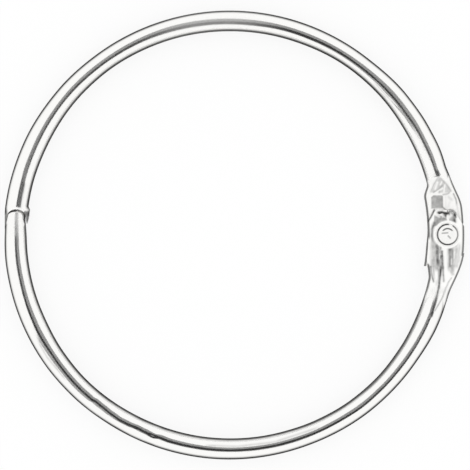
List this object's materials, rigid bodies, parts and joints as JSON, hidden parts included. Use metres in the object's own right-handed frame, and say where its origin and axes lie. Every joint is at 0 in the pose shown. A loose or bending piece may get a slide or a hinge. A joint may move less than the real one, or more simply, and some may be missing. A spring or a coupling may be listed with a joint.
{
  "type": "shower curtain ring",
  "caption": "Hinged, snap-closing ring of bright plated sheet steel that hangs a shower curtain from a rod, with a riveted hinge and a push-in nose.",
  "frame": {"origin": "centre of the closed ring, in the mid-plane of its tube", "axes": "+Z along the ring's axis, towards the face that the picture shows; the hinge is at +X and the snap at -X"},
  "size_m": [0.086, 0.0842, 0.0042],
  "materials": {
    "upper_half": "bright nickel plate over rolled sheet steel, duller where it was pressed",
    "lower_half": "bright nickel plate over rolled sheet steel, duller where it was pressed",
    "hinge_rivet": "nickel-plated steel, set on both sides"
  },
  "bodies": {
    "fixed_half": {"lower_half": "lower_half", "hinge_rivet": "hinge_rivet"},
    "swinging_half": {"upper_half": "upper_half"}
  },
  "joints": [
    {"name": "hinge", "type": "hinge", "parent": "fixed_half", "child": "swinging_half", "pos_m": [0.04065, 0, 0], "axis": [0, 0, -1], "range_deg": [0, 102]}
  ]
}
